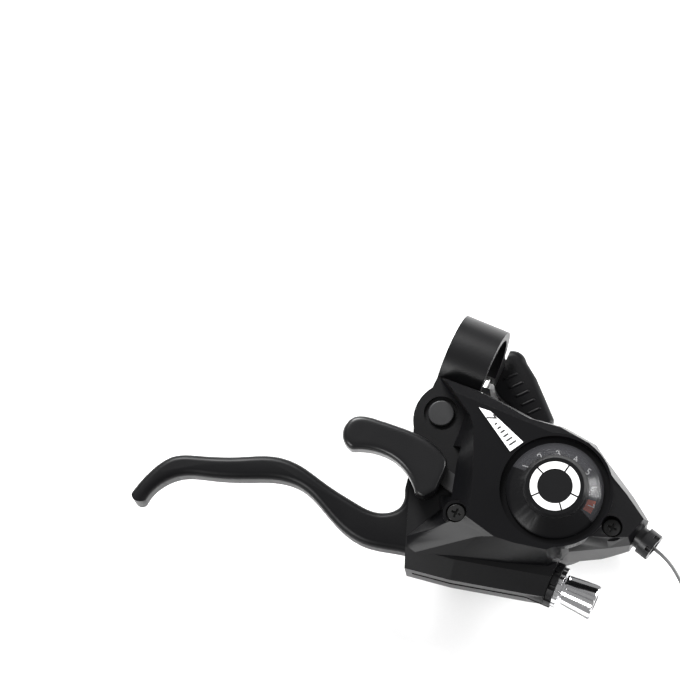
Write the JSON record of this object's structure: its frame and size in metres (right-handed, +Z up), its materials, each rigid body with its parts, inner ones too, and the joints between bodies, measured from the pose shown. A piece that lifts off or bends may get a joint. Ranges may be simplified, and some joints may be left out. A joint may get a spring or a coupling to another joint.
{
  "type": "thumb shifter with brake lever",
  "caption": "Right-hand brake lever with a built-in trigger gear shifter: handlebar clamp, finger trigger, thumb paddle, gear dial with window, chrome cable adjuster and shift wire.",
  "frame": {"origin": "centre of the handlebar clamp bore", "axes": "+X along the handlebar towards the stem, +Y towards the rider, +Z up out of the gear dial"},
  "size_m": [0.2195, 0.1003, 0.0505],
  "materials": {
    "black_paint": "satin black coating on cast aluminium",
    "lever_paint": "satin black coating on forged aluminium",
    "cover_black": "satin black moulded plastic, fine grain",
    "hook_black": "satin black moulded plastic",
    "paddle_black": "matte black moulded plastic",
    "ring_black": "black moulded plastic",
    "dial_black": "smooth black plastic",
    "cap_grey": "dark grey matte",
    "label_white": "silver-white printed label",
    "window_clear": "clear moulded window",
    "flag_orange": "orange-red indicator",
    "chrome_bright": "bright chrome",
    "pin_black": "blackened steel",
    "screw_black": "blackened steel",
    "zinc_steel": "zinc-plated steel",
    "spring_steel": "spring steel",
    "wire_steel": "galvanised stranded wire",
    "nylon": "natural nylon",
    "tie_black": "soft black tie",
    "cap_alloy": "crimped aluminium end cap"
  },
  "bodies": {
    "unit": {"bracket": "black_paint", "clamp_bolt": "zinc_steel", "clamp_nut": "zinc_steel", "pivot_pin": "pin_black", "pivot_clip": "zinc_steel", "lever_return_spring": "spring_steel", "castle_ring": "ring_black", "top_cover": "cover_black", "cover_screws": "screw_black", "label_plate": "label_white", "dial_bezel": "dial_black", "dial_window": "window_clear", "chrome_ring": "chrome_bright", "centre_cap": "cap_grey", "shift_outlet": "ring_black", "main_axle": "zinc_steel", "axle_clip": "spring_steel", "axle_nut": "zinc_steel", "thumb_spring": "spring_steel", "drum_spring": "spring_steel", "pawl_pin": "zinc_steel", "lower_case": "cover_black", "trigger_stud": "zinc_steel", "stud_collar": "nylon", "stud_clip": "spring_steel", "trigger_spring": "spring_steel", "wire_run": "wire_steel", "shift_wire": "wire_steel", "wire_coil": "wire_steel", "coil_ties": "tie_black", "wire_end_cap": "cap_alloy"},
    "lever": {"brake_lever": "lever_paint", "pivot_bush": "nylon"},
    "hook": {"cable_hook": "zinc_steel"},
    "trigger": {"trigger_plate": "pin_black", "trigger_hook": "hook_black"},
    "thumb": {"thumb_plate": "zinc_steel", "thumb_paddle": "paddle_black", "paddle_screw": "zinc_steel", "drive_pin": "zinc_steel"},
    "feed_pawl": {"drive_pawl": "zinc_steel"},
    "drum": {"cable_drum": "nylon", "wire_head": "spring_steel", "drive_wheel": "zinc_steel", "index_wheel": "zinc_steel", "indicator_disc": "dial_black", "indicator_flag": "flag_orange"},
    "stop_pawl": {"holding_pawl": "zinc_steel"},
    "adjuster": {"barrel_adjuster": "chrome_bright"},
    "adjuster_nut": {"lock_nut": "chrome_bright"}
  },
  "joints": [
    {"name": "brake_lever_hinge", "type": "hinge", "parent": "unit", "child": "lever", "pos_m": [-0.0013, -0.0211, 0], "axis": [0, 0, -1], "range_deg": [0, 28], "stiffness_Nm_per_rad": 0.4, "springref_deg": -8.59},
    {"name": "cable_hook_swivel", "type": "hinge", "parent": "lever", "child": "hook", "pos_m": [0.0052, -0.0562, 0], "axis": [0, 0, 1], "range_deg": [0, 28]},
    {"name": "trigger_hinge", "type": "hinge", "parent": "unit", "child": "trigger", "pos_m": [0.0236, -0.043, 0.0115], "axis": [0, 0, -1], "range_deg": [0, 14], "stiffness_Nm_per_rad": 0.3, "springref_deg": -1.72},
    {"name": "thumb_lever_hinge", "type": "hinge", "parent": "unit", "child": "thumb", "pos_m": [0.0426, -0.032, -0.0145], "axis": [0, 0, 1], "range_deg": [0, 36], "stiffness_Nm_per_rad": 0.25, "springref_deg": -2.29},
    {"name": "feed_pawl_hinge", "type": "hinge", "parent": "thumb", "child": "feed_pawl", "pos_m": [0.03341, -0.02281, -0.0124], "axis": [0, 0, 1], "range_deg": [0, 12], "stiffness_Nm_per_rad": 0.002, "springref_deg": -1.15},
    {"name": "drum_hinge", "type": "hinge", "parent": "unit", "child": "drum", "pos_m": [0.0426, -0.032, 0.0072], "axis": [0, 0, 1], "range_deg": [0, 162]},
    {"name": "stop_pawl_hinge", "type": "hinge", "parent": "unit", "child": "stop_pawl", "pos_m": [0.03086, -0.04257, -0.002], "axis": [0, 0, 1], "range_deg": [0, 9]},
    {"name": "adjuster_spin", "type": "hinge", "parent": "unit", "child": "adjuster", "pos_m": [0.06, -0.0562, 0], "axis": [1, 0, 0], "continuous": true},
    {"name": "lock_nut_spin", "type": "hinge", "parent": "unit", "child": "adjuster_nut", "pos_m": [0.0546, -0.0562, 0], "axis": [1, 0, 0], "continuous": true}
  ],
  "couplings": [
    {"joint": "cable_hook_swivel", "follows": "brake_lever_hinge", "ratio": 1},
    {"joint": "stop_pawl_hinge", "follows": "trigger_hinge", "ratio": 0.64}
  ]
}
